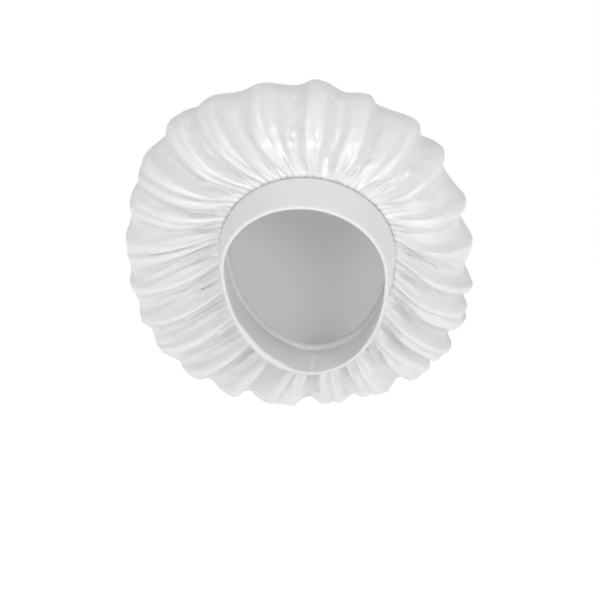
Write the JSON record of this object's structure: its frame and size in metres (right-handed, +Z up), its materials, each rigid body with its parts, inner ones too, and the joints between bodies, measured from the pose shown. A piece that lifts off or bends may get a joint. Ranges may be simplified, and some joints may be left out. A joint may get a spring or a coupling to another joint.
{
  "type": "hair bonnet",
  "caption": "Round satin sleep bonnet in its worn shape: a full gathered crown sewn into a wide stretch band that grips the head.",
  "frame": {"origin": "centre of the band's opening, at its folded edge, where the head goes in", "axes": "+Z up as worn on an upright head, the face looking along -Y, +X side to side"},
  "size_m": [0.3171, 0.2562, 0.2957],
  "materials": {
    "satin": "white satin with a soft sheen",
    "knit": "white stretch knit, matte",
    "elastic": "white woven elastic",
    "thread": "white polyester thread"
  },
  "bodies": {
    "root": {"crown_panel": "satin", "band_cover": "knit", "band_elastic": "elastic", "elastic_bar_tack": "thread", "band_join_stitches": "thread", "seam_needle_thread": "thread", "gathering_thread": "thread", "overlock_thread": "thread"}
  },
  "joints": []
}
